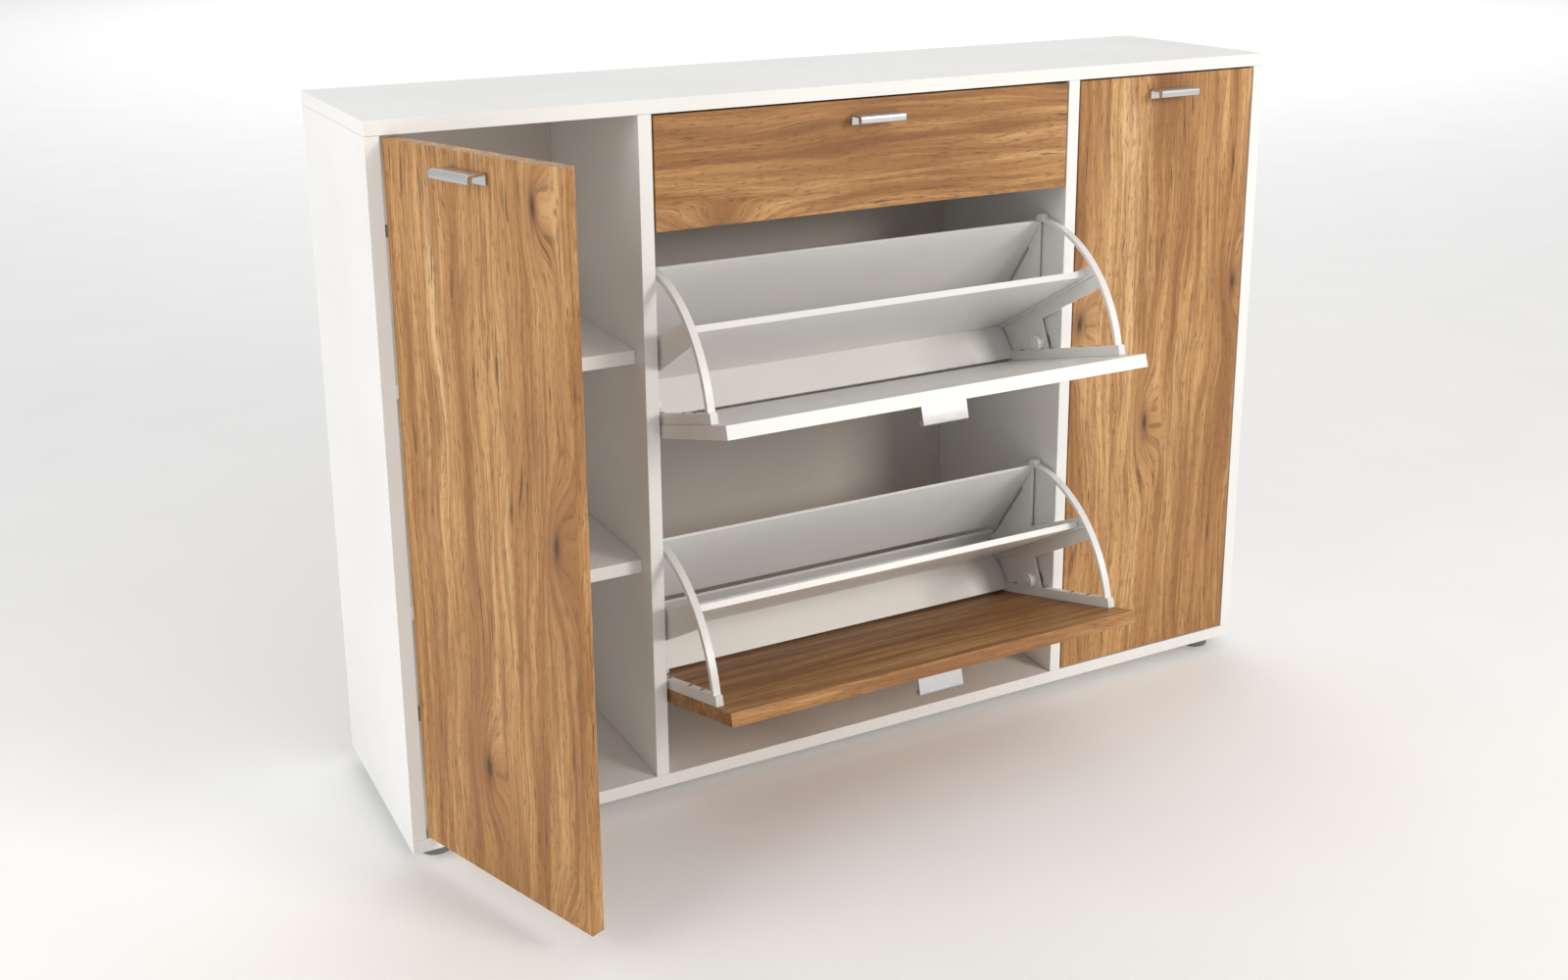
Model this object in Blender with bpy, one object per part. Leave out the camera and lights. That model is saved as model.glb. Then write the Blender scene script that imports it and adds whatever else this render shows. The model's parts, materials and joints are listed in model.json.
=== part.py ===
"""Shoe cabinet: a bay with a door at each side, and a drawer over two tilting shoe flaps.

Metres, +Z up, front towards -Y. The origin is on the floor, under the middle of the plan
box of the cabinet as it stands here: left door and both flaps open, right door and drawer
closed. Each moving group hangs from an empty that lies on its joint's axis.
"""

from math import acos, cos, pi, radians, sin, sqrt

import bmesh
import bpy
from mathutils import Matrix, Vector

MM = 0.001
GAP = 0.3 * MM  # left between pieces that touch

# Carcass, measured from the middle of its front bottom edge
WIDTH = 1340 * MM
HEIGHT = 935 * MM
DEPTH = 320 * MM
BOARD = 18 * MM
BACK_PANEL = 3 * MM
BACK_PANEL_INSET = 1 * MM
SIDE_BAY = 318 * MM
FRONT_Y = -13 * MM
FOOT_HEIGHT = 20 * MM
FOOT_RADIUS = 22.5 * MM
FOOT_INSET = 40 * MM
SHELF_FRONT = 30 * MM
SHELF_HEIGHTS = {"lower": 305 * MM, "upper": 593 * MM}

# Inset fronts, flush with the carcass edges
FRONT_GAP = 2.5 * MM
DRAWER_FRONT_HEIGHT = 146.5 * MM
LEFT_DOOR_OPEN = radians(70)

# Concealed door hinges: cup in the door, arm on the side, curved links on the door's axis
HINGE_HEIGHTS = {"lower": 176 * MM, "upper": 799 * MM}
CUP_FROM_EDGE = 23 * MM
CUP_RADIUS = 17.2 * MM
CUP_CAVITY = 15.5 * MM
CUP_DEPTH = 12 * MM
CUP_WALL = 1.2 * MM
CUP_RIM_RADIUS = 20 * MM
CUP_WING_HALF = 31 * MM
CUP_WING_WIDTH = 12 * MM
LINK_THICK = 2 * MM
LINK_SPACE = 0.5 * MM
LINK_HALF_WIDTH = 5 * MM
HOOK_RADIUS = 22.3 * MM
HOOK_ARC = (radians(25), radians(95))
LINK_ARC = (radians(22), radians(85))
HORN_ARC = (radians(13.5), radians(80))
ARM_START = 36 * MM
ARM_END = 88 * MM
ARM_RISE = 9 * MM
ARM_HALF_WIDTH = 6.5 * MM
PLATE_FRONT = 46 * MM
PLATE_BACK = 62 * MM
PLATE_THICK = 3.2 * MM
PLATE_HALF_HEIGHT = 24 * MM

# Handles: an extruded aluminium hook
HANDLE_LENGTH = 68 * MM
HANDLE_DROP = 18.5 * MM
HANDLE_REACH = 27 * MM
HANDLE_WEB = 3 * MM
HANDLE_FLANGE = 2.5 * MM
HANDLE_FLANGE_HEIGHT = 14 * MM
HANDLE_LIP = 7 * MM
HANDLE_LIP_HEIGHT = 10.5 * MM
HANDLE_ROUND = 2.5 * MM

# Drawer box on roller runners
DRAWER_WALL = 12 * MM
DRAWER_LOW = 782 * MM
DRAWER_WALL_HEIGHT = 100 * MM
DRAWER_BACK = 288 * MM
DRAWER_PANEL = 3 * MM
DRAWER_PANEL_LOW = 790 * MM
GROOVE_DEPTH = 6 * MM
RUNNER_SPACE = 12.5 * MM
RUNNER_SHEET = 1.2 * MM
RAIL_LOW = 772 * MM
RAIL_HEIGHT = 28 * MM
RAIL_REACH = 7.7 * MM
RAIL_FRONT = 20 * MM
RAIL_BACK = 300 * MM
TONGUE_LOW = 786 * MM
TONGUE_REACH = 8 * MM
ROLLER_RADIUS = 6 * MM
ROLLER_WIDTH = 6 * MM
ROLLER_HEIGHT = 779.5 * MM
FRONT_ROLLER = 28 * MM
REAR_ROLLER = 277 * MM

# Shoe flaps. Their sections are drawn closed, about the pivot: Y back, Z up
FLAP_OPEN = radians(74)
SWING_GAP = 7 * MM
PIVOT_BACK = 42 * MM
PIVOT_UP = 130.25 * MM
BRACKET_SPACE = 3.3 * MM
BRACKET_PLATE = 4 * MM
BRACKET_DEPTH = 10 * MM
BRACKET_BAR = 13.7 * MM
BRACKET_RIM = 188 * MM
RIM_THICK = 5 * MM
WINDOW_RIM = 180 * MM
BRACKET_FOOT = Vector((-23.7 * MM, -75 * MM))
BRACKET_BACK_LOW = Vector((51.5 * MM, -117 * MM))
BRACKET_BACK_HIGH = Vector((61.5 * MM, -115 * MM))
RIM_START = radians(15.5)
UPPER_WINDOW_CORNER = Vector((81.4 * MM, 13.5 * MM))
UPPER_WINDOW_ARC = (radians(13), radians(55))
LOWER_WINDOW_CORNERS = (Vector((-10 * MM, 17.8 * MM)), Vector((34.3 * MM, 10.9 * MM)))
LOWER_WINDOW_ARC = (radians(66.2), radians(93.2))
SLOT_WIDTH = 3.5 * MM
HEEL_SLOT = (17 * MM, 142 * MM)            # along the upper back board, from the fold
TOE_SLOT = (23 * MM, 72 * MM)              # along the lower back board, from the fold
LEDGE = 3 * MM
THIN_BOARD = 4 * MM
MIDDLE_BOARD = 9 * MM
FOLD = Vector((54.6 * MM, -107 * MM))      # where the lower back board's lip bends up
HEEL = Vector((180 * MM, 52.6 * MM))       # far edge of the upper back board
CREST = Vector((96.9 * MM, 135.8 * MM))    # free edge of the middle board
TOE = Vector((-19.5 * MM, -68 * MM))       # edge of the lower back board at the flap
MIDDLE_DROP = 20 * MM                      # from the fold to the middle board
LIP = 22 * MM                              # from the fold to the end of the lip
HEEL_START = 41 * MM                       # from the fold to the upper back board
HEEL_KNOB = 6 * MM
BOSS_RADIUS = 11 * MM
BOSS_DEPTH = 14 * MM
BOSS_BORE = 4.3 * MM
STUD_RADIUS = 4 * MM
STUD_REACH = 12.5 * MM
BEARING_RADIUS = 18 * MM
BEARING_THICK = 2.5 * MM

# Worked out from the sizes above
BOARD_DEPTH = DEPTH - BACK_PANEL - GAP
SIDE_FACE = WIDTH / 2 - BOARD
DIVIDER_BAY_FACE = SIDE_FACE - SIDE_BAY
DIVIDER_FACE = DIVIDER_BAY_FACE - BOARD
DOOR_WIDTH = SIDE_BAY - 2 * FRONT_GAP
FRONTS_LOW = BOARD + FRONT_GAP
FRONTS_HIGH = HEIGHT - BOARD - FRONT_GAP
FRONT_HALF = DIVIDER_FACE - FRONT_GAP
DRAWER_FRONT_LOW = FRONTS_HIGH - DRAWER_FRONT_HEIGHT
FLAPS_LOW = BOARD + SWING_GAP
FLAP_HEIGHT = (DRAWER_FRONT_LOW - FRONT_GAP - FLAPS_LOW - SWING_GAP) / 2
PIVOT_HEIGHTS = {
    "lower": FLAPS_LOW + PIVOT_UP,
    "upper": FLAPS_LOW + FLAP_HEIGHT + SWING_GAP + PIVOT_UP,
}
LINK_RADIUS = HOOK_RADIUS + LINK_THICK + LINK_SPACE
HORN_RADIUS = LINK_RADIUS + LINK_THICK + LINK_SPACE
DRAWER_HALF = DIVIDER_FACE - RUNNER_SPACE
BRACKET_FACE = DIVIDER_FACE - BRACKET_SPACE
SHOE_BOARD_HALF = BRACKET_FACE - BRACKET_PLATE - GAP
MIDDLE_ROOT = FOLD + (TOE - FOLD).normalized() * MIDDLE_DROP
PANEL_FRONT = -PIVOT_BACK
PANEL_BACK = PANEL_FRONT + BOARD

PALETTE = {  # sRGB colour, roughness, metallic
    "white_board": ((0.92, 0.92, 0.92), 0.45, 0.0),
    "oak_board": ((0.74, 0.56, 0.37), 0.5, 0.0),
    "white_plastic": ((0.86, 0.86, 0.84), 0.4, 0.0),
    "grey_plastic": ((0.42, 0.43, 0.42), 0.5, 0.0),
    "aluminium": ((0.72, 0.72, 0.72), 0.32, 1.0),
    "steel": ((0.62, 0.62, 0.63), 0.28, 1.0),
    "coated_steel": ((0.88, 0.88, 0.87), 0.35, 0.0),
}


# ---------------------------------------------------------------- mesh helpers

def clear_scene():
    for item in list(bpy.data.objects):
        bpy.data.objects.remove(item, do_unlink=True)


def mesh_of(bm):
    bmesh.ops.recalc_face_normals(bm, faces=bm.faces)
    mesh = bpy.data.meshes.new("shape")
    bm.to_mesh(mesh)
    bm.free()
    return mesh


def box(low, high):
    """Closed box between two corners."""
    bm = bmesh.new()
    bmesh.ops.create_cube(bm, size=1)
    low = Vector(low)
    size = Vector(high) - low
    bmesh.ops.translate(bm, verts=bm.verts, vec=(0.5, 0.5, 0.5))
    bmesh.ops.scale(bm, verts=bm.verts, vec=size)
    bmesh.ops.translate(bm, verts=bm.verts, vec=low)
    return mesh_of(bm)


def spot(axis, along, u, v):
    """Point from its place along an axis and its two coordinates across it."""
    if axis == "x":
        return Vector((along, u, v))
    if axis == "y":
        return Vector((u, along, v))
    return Vector((u, v, along))


def prism(outline, axis, start, end, holes=()):
    """Outline across an axis, less any holes, filled and extruded along the axis."""
    bm = bmesh.new()
    edges = []
    for loop in (outline, *holes):
        verts = [bm.verts.new(spot(axis, start, u, v)) for u, v in loop]
        edges += [bm.edges.new(pair) for pair in zip(verts, verts[1:] + verts[:1])]
    filled = bmesh.ops.triangle_fill(bm, edges=edges, use_beauty=True)["geom"]
    faces = [item for item in filled if isinstance(item, bmesh.types.BMFace)]
    raised = bmesh.ops.extrude_face_region(bm, geom=faces)["geom"]
    verts = [item for item in raised if isinstance(item, bmesh.types.BMVert)]
    bmesh.ops.translate(bm, verts=verts, vec=spot(axis, end - start, 0, 0))
    return mesh_of(bm)


def arc(centre, radius, start, end, steps):
    """Points of an arc. Its angles run from the first coordinate towards the second."""
    angles = [start + (end - start) * i / steps for i in range(steps + 1)]
    return [(centre[0] + radius * cos(a), centre[1] + radius * sin(a)) for a in angles]


def disc(axis, centre, radius, start, end, sides=32):
    """Round bar along an axis."""
    return prism(arc(centre, radius, 0, 2 * pi, sides)[:-1], axis, start, end)


def shaped(base, others, operation):
    """Base mesh after each other mesh is joined to it or cut from it."""
    meshes = [base] + others
    items = [bpy.data.objects.new("operand", mesh) for mesh in meshes]
    for item in items:
        bpy.context.scene.collection.objects.link(item)
    for other in items[1:]:
        step = items[0].modifiers.new("step", "BOOLEAN")
        step.operation = operation
        step.solver = "EXACT"
        step.object = other
    graph = bpy.context.evaluated_depsgraph_get()
    result = bpy.data.meshes.new_from_object(items[0].evaluated_get(graph))
    for item in items:
        bpy.data.objects.remove(item, do_unlink=True)
    return result


def joined(base, *others):
    return shaped(base, list(others), "UNION")


def cut(base, *others):
    return shaped(base, list(others), "DIFFERENCE")


def mirrored(mesh):
    """The same piece for the other side of the cabinet."""
    twin = mesh.copy()
    twin.transform(Matrix.Scale(-1, 4, (1, 0, 0)))
    twin.flip_normals()
    return twin


def sided(mesh, side):
    return mesh if side == "left" else mirrored(mesh)


# ------------------------------------------------------------- object helpers

def linear(channel):
    return channel / 12.92 if channel <= 0.04045 else ((channel + 0.055) / 1.055) ** 2.4


def painted(name, paint):
    """Principled material of one sub-part."""
    colour, roughness, metallic = PALETTE[paint]
    material = bpy.data.materials.new(name)
    material.use_nodes = True
    shader = material.node_tree.nodes["Principled BSDF"]
    shader.inputs["Base Color"].default_value = (*map(linear, colour), 1)
    shader.inputs["Roughness"].default_value = roughness
    shader.inputs["Metallic"].default_value = metallic
    return material


def piece(name, mesh, frame, paint, place=(0, 0, 0), smooth=False):
    """Named sub-part, hung from its frame."""
    mesh.name = name
    mesh.materials.clear()
    mesh.materials.append(painted(name, paint))
    if smooth:
        mesh.shade_smooth()
        mesh.set_sharp_from_angle(angle=radians(35))
    item = bpy.data.objects.new(name, mesh)
    item.parent = frame
    item.location = place
    bpy.context.scene.collection.objects.link(item)
    return item


def axis_frame(name, parent, place, turn=(0, 0, 0)):
    """Empty that carries a group of pieces."""
    empty = bpy.data.objects.new(name, None)
    empty.empty_display_size = 0.05
    empty.parent = parent
    empty.location = place
    empty.rotation_euler = turn
    bpy.context.scene.collection.objects.link(empty)
    return empty


# ------------------------------------------------------------------- carcass

def add_carcass(frame):
    half = WIDTH / 2
    inner_low = BOARD + GAP
    inner_high = HEIGHT - BOARD - GAP
    boards = {
        "bottom_board": ((-half, 0, 0), (half, BOARD_DEPTH, BOARD)),
        "top_board": ((-half, 0, HEIGHT - BOARD), (half, BOARD_DEPTH, HEIGHT)),
        "left_side": ((-half, 0, inner_low), (-SIDE_FACE, BOARD_DEPTH, inner_high)),
        "right_side": ((SIDE_FACE, 0, inner_low), (half, BOARD_DEPTH, inner_high)),
        "left_divider": ((-DIVIDER_BAY_FACE, 0, inner_low), (-DIVIDER_FACE, BOARD_DEPTH, inner_high)),
        "right_divider": ((DIVIDER_FACE, 0, inner_low), (DIVIDER_BAY_FACE, BOARD_DEPTH, inner_high)),
        "back_panel": (
            (BACK_PANEL_INSET - half, DEPTH - BACK_PANEL, BACK_PANEL_INSET),
            (half - BACK_PANEL_INSET, DEPTH, HEIGHT - BACK_PANEL_INSET),
        ),
    }
    for name, (low, high) in boards.items():
        piece(name, box(low, high), frame, "white_board")


def add_shelves(frame):
    for side in ("left", "right"):
        for level, height in SHELF_HEIGHTS.items():
            low = (GAP - SIDE_FACE, SHELF_FRONT, height)
            high = (-DIVIDER_BAY_FACE - GAP, BOARD_DEPTH - GAP, height + BOARD)
            piece(f"{side}_shelf_{level}", sided(box(low, high), side), frame, "white_board")


def add_feet(frame):
    foot = disc("z", (0, 0), FOOT_RADIUS, -FOOT_HEIGHT, -GAP)
    across = WIDTH / 2 - FOOT_INSET
    for side, x in (("left", -across), ("right", across)):
        for end, y in (("front", FOOT_INSET), ("back", DEPTH - FOOT_INSET)):
            name = f"foot_{end}_{side}"
            piece(name, foot.copy(), frame, "grey_plastic", (x, y, 0), smooth=True)


# --------------------------------------------------------------------- doors

def door_mesh():
    """Left door from its hinge edge, with a blind bore for each hinge cup."""
    panel = box((0, 0, FRONTS_LOW), (DOOR_WIDTH, BOARD, FRONTS_HIGH))
    bore = CUP_RADIUS + GAP
    floor = BOARD - CUP_DEPTH
    bores = [
        disc("y", (CUP_FROM_EDGE, height), bore, floor, BOARD + MM, 48)
        for height in HINGE_HEIGHTS.values()
    ]
    return cut(panel, *bores)


def curved_bar(radius, span, steps=14):
    """Bar bent about the door's axis, as wide as a hinge link."""
    inner = arc((0, 0), radius, span[0], span[1], steps)
    outer = arc((0, 0), radius + LINK_THICK, span[1], span[0], steps)
    return prism(inner + outer, "z", -LINK_HALF_WIDTH, LINK_HALF_WIDTH)


def rim_outline():
    """Hinge cup's rim seen from inside the door: a circle with a screw wing above and below."""
    half = CUP_WING_WIDTH / 2
    meet = acos(half / CUP_RIM_RADIUS)
    middle = (CUP_FROM_EDGE, 0)
    outline = arc(middle, CUP_RIM_RADIUS, -meet, meet, 20)
    outline += [(CUP_FROM_EDGE + half, CUP_WING_HALF), (CUP_FROM_EDGE - half, CUP_WING_HALF)]
    outline += arc(middle, CUP_RIM_RADIUS, pi - meet, pi + meet, 20)
    outline += [(CUP_FROM_EDGE - half, -CUP_WING_HALF), (CUP_FROM_EDGE + half, -CUP_WING_HALF)]
    return outline


def cup_mesh():
    """Hinge cup, its screwed rim, and the curved horn that stands in it."""
    middle = (CUP_FROM_EDGE, 0)
    floor = BOARD - CUP_DEPTH + GAP
    rim_low = BOARD + GAP
    rim_high = rim_low + CUP_WALL
    barrel = disc("y", middle, CUP_RADIUS, floor, rim_low + CUP_WALL / 2, 40)
    rim = prism(rim_outline(), "y", rim_low, rim_high)
    hollow = disc("y", middle, CUP_CAVITY, floor + CUP_WALL, rim_high + MM, 48)
    return joined(cut(joined(barrel, rim), hollow), curved_bar(HORN_RADIUS, HORN_ARC))


def arm_mesh():
    """Hinge arm and mounting plate on the side, with the hook that enters the cup."""
    face = GAP - FRONT_GAP
    tongue = box(
        (face, HOOK_RADIUS, -LINK_HALF_WIDTH),
        (face + LINK_THICK, ARM_START + MM, LINK_HALF_WIDTH),
    )
    arm = box((face, ARM_START, -ARM_HALF_WIDTH), (ARM_RISE, ARM_END, ARM_HALF_WIDTH))
    plate = box(
        (face, PLATE_FRONT, -PLATE_HALF_HEIGHT),
        (face + PLATE_THICK, PLATE_BACK, PLATE_HALF_HEIGHT),
    )
    return joined(arm, plate, tongue, curved_bar(HOOK_RADIUS, HOOK_ARC))


def handle_mesh():
    """Hook-shaped handle. Its top is at Z = 0 and the front's face at Y = 0."""
    foot = -GAP - HANDLE_FLANGE
    reach = -HANDLE_REACH
    inner = reach + HANDLE_LIP
    drop = -HANDLE_LIP_HEIGHT
    small = HANDLE_ROUND
    outline = [
        (-GAP, 0),
        (-GAP, -HANDLE_FLANGE_HEIGHT),
        (foot, -HANDLE_FLANGE_HEIGHT),
        (foot, -HANDLE_WEB),
        (inner, -HANDLE_WEB),
    ]
    outline += arc((inner - small, drop + small), small, 0, -pi / 2, 4)
    outline += arc((reach + small, drop + small), small, -pi / 2, -pi, 4)
    outline += arc((reach + small, -small), small, pi, pi / 2, 4)
    return prism(outline, "x", -HANDLE_LENGTH / 2, HANDLE_LENGTH / 2)


def add_doors(frame):
    door = door_mesh()
    cup = cup_mesh()
    arm = arm_mesh()
    link = curved_bar(LINK_RADIUS, LINK_ARC)
    handle = handle_mesh()
    for side, sign, opened in (("left", -1, LEFT_DOOR_OPEN), ("right", 1, 0)):
        corner = (sign * (SIDE_FACE - FRONT_GAP), 0, 0)
        turn = (0, 0, sign * opened)
        half_turn = (0, 0, sign * opened / 2)
        hinge = axis_frame(f"{side}_door_axis", frame, corner, turn)
        links = axis_frame(f"{side}_link_axis", frame, corner, half_turn)
        piece(f"{side}_door", sided(door.copy(), side), hinge, "oak_board")
        grip = (-sign * DOOR_WIDTH / 2, 0, FRONTS_HIGH - HANDLE_DROP)
        piece(f"{side}_door_handle", handle.copy(), hinge, "aluminium", grip, smooth=True)
        for level, height in HINGE_HEIGHTS.items():
            up = (0, 0, height)
            arm_place = (corner[0], 0, height)
            piece(f"{side}_hinge_cup_{level}", sided(cup.copy(), side), hinge, "steel", up, True)
            piece(f"{side}_hinge_link_{level}", sided(link.copy(), side), links, "steel", up, True)
            piece(f"{side}_hinge_arm_{level}", sided(arm.copy(), side), frame, "steel", arm_place, True)


# -------------------------------------------------------------------- drawer

def drawer_side_mesh():
    """Left drawer side, grooved for the bottom panel."""
    outer = -DRAWER_HALF
    inner = outer + DRAWER_WALL
    groove = inner - GROOVE_DEPTH
    groove_high = DRAWER_PANEL_LOW + DRAWER_PANEL + 2 * GAP
    top = DRAWER_LOW + DRAWER_WALL_HEIGHT
    outline = [
        (outer, DRAWER_LOW),
        (inner, DRAWER_LOW),
        (inner, DRAWER_PANEL_LOW),
        (groove, DRAWER_PANEL_LOW),
        (groove, groove_high),
        (inner, groove_high),
        (inner, top),
        (outer, top),
    ]
    return prism(outline, "y", BOARD + GAP, DRAWER_BACK)


def cabinet_rail_mesh():
    """Left channel on the divider, open to the drawer, with its front roller."""
    back = GAP - DIVIDER_FACE
    web = back + RUNNER_SHEET
    lip = back + RAIL_REACH
    top = RAIL_LOW + RAIL_HEIGHT
    outline = [
        (back, RAIL_LOW),
        (lip, RAIL_LOW),
        (lip, RAIL_LOW + RUNNER_SHEET),
        (web, RAIL_LOW + RUNNER_SHEET),
        (web, top - RUNNER_SHEET),
        (lip, top - RUNNER_SHEET),
        (lip, top),
        (back, top),
    ]
    channel = prism(outline, "y", RAIL_FRONT, RAIL_BACK)
    start = web - RUNNER_SHEET / 2
    roller = disc("x", (FRONT_ROLLER, ROLLER_HEIGHT), ROLLER_RADIUS, start, start + ROLLER_WIDTH, 24)
    return joined(channel, roller)


def drawer_rail_mesh():
    """Left rail under the drawer side, with the tongue and rear roller in the channel."""
    web = -DRAWER_HALF - GAP
    outer = web - RUNNER_SHEET
    tongue = outer - TONGUE_REACH
    flange = -DRAWER_HALF + DRAWER_WALL
    low = DRAWER_LOW - GAP - RUNNER_SHEET
    top = TONGUE_LOW + 3 * RUNNER_SHEET
    outline = [
        (outer, low),
        (flange, low),
        (flange, low + RUNNER_SHEET),
        (web, low + RUNNER_SHEET),
        (web, top),
        (outer, top),
        (outer, TONGUE_LOW + RUNNER_SHEET),
        (tongue, TONGUE_LOW + RUNNER_SHEET),
        (tongue, TONGUE_LOW),
        (outer, TONGUE_LOW),
    ]
    rail = prism(outline, "y", BOARD + MM, DRAWER_BACK - MM)
    start = outer - ROLLER_WIDTH
    end = outer + RUNNER_SHEET / 2
    roller = disc("x", (REAR_ROLLER, ROLLER_HEIGHT), ROLLER_RADIUS, start, end, 24)
    return joined(rail, roller)


def add_drawer(frame):
    slide = axis_frame("drawer_slide", frame, (0, 0, 0))
    front = box((-FRONT_HALF, 0, DRAWER_FRONT_LOW), (FRONT_HALF, BOARD, FRONTS_HIGH))
    piece("drawer_front", front, slide, "oak_board")
    grip = (0, 0, FRONTS_HIGH - HANDLE_DROP)
    piece("drawer_handle", handle_mesh(), slide, "aluminium", grip, smooth=True)

    inner = DRAWER_HALF - DRAWER_WALL
    panel_low = DRAWER_PANEL_LOW + GAP
    panel_high = panel_low + DRAWER_PANEL
    panel_half = inner + GROOVE_DEPTH - GAP
    back_low = (GAP - inner, DRAWER_BACK - DRAWER_WALL, panel_high + GAP)
    back_high = (inner - GAP, DRAWER_BACK, DRAWER_LOW + DRAWER_WALL_HEIGHT)
    piece("drawer_back", box(back_low, back_high), slide, "white_board")
    bottom_low = (-panel_half, BOARD + GAP, panel_low)
    bottom_high = (panel_half, DRAWER_BACK, panel_high)
    piece("drawer_bottom", box(bottom_low, bottom_high), slide, "white_board")

    wall = drawer_side_mesh()
    channel = cabinet_rail_mesh()
    rail = drawer_rail_mesh()
    for side in ("left", "right"):
        piece(f"drawer_{side}_side", sided(wall.copy(), side), slide, "white_board")
        piece(f"{side}_cabinet_runner", sided(channel.copy(), side), frame, "coated_steel")
        piece(f"{side}_drawer_runner", sided(rail.copy(), side), slide, "coated_steel")


# --------------------------------------------------------------------- flaps

def ahead(start, end):
    """Unit direction from one point of the section to another."""
    return (end - start).normalized()


def backward(direction):
    """Direction turned a quarter turn, from the flap towards the cabinet's back."""
    return Vector((direction.y, -direction.x))


def on_circle(point, direction, radius):
    """Where a line from a point inside a circle about the pivot leaves it."""
    along = point.dot(direction)
    reach = sqrt(along * along - point.dot(point) + radius * radius)
    return point + direction * (reach - along)


def at_depth(point, direction, depth):
    """Where a line reaches a given distance behind the pivot."""
    return point + direction * ((depth - point.x) / direction.x)


def turn_of(point):
    """Angle of a point about the pivot, from Y towards Z."""
    return acos(point.x / point.length) if point.y >= 0 else -acos(point.x / point.length)


def above_lower_board(offset):
    """How far up the middle board a point, offset from its face, clears the lower back board."""
    up = ahead(MIDDLE_ROOT, CREST)
    under = backward(ahead(TOE, FOLD))
    return (offset * -backward(up).dot(under) + GAP) / -up.dot(under)


def corner_behind(depth):
    """Corner at the fold of the two back boards' line, moved back by a depth."""
    behind_heel = backward(ahead(FOLD, HEEL))
    behind_toe = backward(ahead(TOE, FOLD))
    return FOLD + (behind_heel + behind_toe) * depth / (1 + behind_heel.dot(behind_toe))


def shoe_board_outlines():
    """Sections of the three boards that hold the shoes."""
    up = ahead(MIDDLE_ROOT, CREST)
    out = ahead(FOLD, HEEL)
    down = ahead(FOLD, TOE)
    across = -backward(up) * MIDDLE_BOARD
    behind_heel = backward(out) * THIN_BOARD
    behind_toe = backward(-down) * THIN_BOARD
    lip = FOLD + out * LIP
    heel_start = FOLD + out * HEEL_START
    heel_end = on_circle(FOLD + behind_heel, out, BRACKET_RIM - RIM_THICK - GAP)
    return {
        "upper_back": [heel_start, heel_end - behind_heel, heel_end, heel_start + behind_heel],
        "middle": [
            MIDDLE_ROOT + up * above_lower_board(0),
            CREST,
            CREST + across,
            MIDDLE_ROOT + across + up * above_lower_board(MIDDLE_BOARD),
        ],
        "lower_back": [FOLD, TOE, TOE + behind_toe, corner_behind(THIN_BOARD), lip + behind_heel, lip],
    }


def strip(start, direction, across, span):
    """Four corners of a straight strip beside a line, over a span of its length."""
    low = start + direction * span[0]
    high = start + direction * span[1]
    return [low, high, high + across, low + across]


def bracket_mesh():
    """Left flap bracket: windowed plate, rim and ledge for the boards, pivot boss."""
    face = -BRACKET_FACE
    end = face + BRACKET_DEPTH
    rim_face = face + BRACKET_PLATE / 2
    front = PANEL_BACK + GAP
    bar = front + BRACKET_BAR
    up = ahead(MIDDLE_ROOT, CREST)
    out = ahead(FOLD, HEEL)
    down = ahead(FOLD, TOE)
    behind_heel = backward(out)
    behind_toe = backward(-down)
    seat = THIN_BOARD + GAP

    rim_top = on_circle(Vector((bar, 0)), Vector((0, 1)), BRACKET_RIM)
    outline = [BRACKET_FOOT, BRACKET_BACK_LOW, BRACKET_BACK_HIGH]
    outline += [on_circle(FOLD + behind_heel * (seat + LEDGE), out, BRACKET_RIM + LEDGE)]
    outline += arc((0, 0), BRACKET_RIM, RIM_START, turn_of(rim_top), 24)
    outline += [(rim_top.x, rim_top.y + RIM_THICK), (front, rim_top.y + RIM_THICK)]

    pocket_rim = BRACKET_RIM - RIM_THICK
    heel_corner = on_circle(FOLD + behind_heel * seat, out, pocket_rim)
    bar_top = on_circle(Vector((bar, 0)), Vector((0, 1)), pocket_rim)
    toe_corner = TOE + behind_toe * seat + down * GAP
    pocket = arc((0, 0), pocket_rim, turn_of(heel_corner), turn_of(bar_top), 24)
    pocket += [
        at_depth(TOE - behind_toe * GAP, down, bar),
        toe_corner - behind_toe * (seat + GAP),
        toe_corner,
        corner_behind(seat),
    ]
    rim = prism(outline, "x", rim_face, end, [pocket])

    upper_window = [UPPER_WINDOW_CORNER] + arc((0, 0), WINDOW_RIM, *UPPER_WINDOW_ARC, 12)
    lower_window = arc((0, 0), WINDOW_RIM, *LOWER_WINDOW_ARC, 12) + list(LOWER_WINDOW_CORNERS)
    heel_slot = strip(FOLD - behind_heel * GAP, out, -behind_heel * SLOT_WIDTH, HEEL_SLOT)
    toe_slot = strip(FOLD - behind_toe * GAP, down, -behind_toe * SLOT_WIDTH, TOE_SLOT)
    windows = [upper_window, lower_window, heel_slot, toe_slot]
    plate = prism(outline, "x", face, face + BRACKET_PLATE, windows)

    ledge_side = -backward(up)
    ledge_near = MIDDLE_BOARD + GAP
    ledge_far = ledge_near + LEDGE
    ledge_tops = [
        on_circle(MIDDLE_ROOT + ledge_side * d, up, BRACKET_RIM - MM) for d in (ledge_near, ledge_far)
    ]
    ledge_feet = [
        MIDDLE_ROOT + ledge_side * d + up * above_lower_board(d) for d in (ledge_far, ledge_near)
    ]
    ledge = prism(ledge_tops + ledge_feet, "x", rim_face, end)
    boss = disc("x", (0, 0), BOSS_RADIUS, face, face + BOSS_DEPTH, 24)
    knob = disc("x", HEEL, HEEL_KNOB - GAP, face, end, 24)
    bore = disc("x", (0, 0), BOSS_BORE, face - MM, face + BOSS_DEPTH + MM, 24)
    return cut(joined(plate, rim, ledge, boss, knob), bore)


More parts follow.
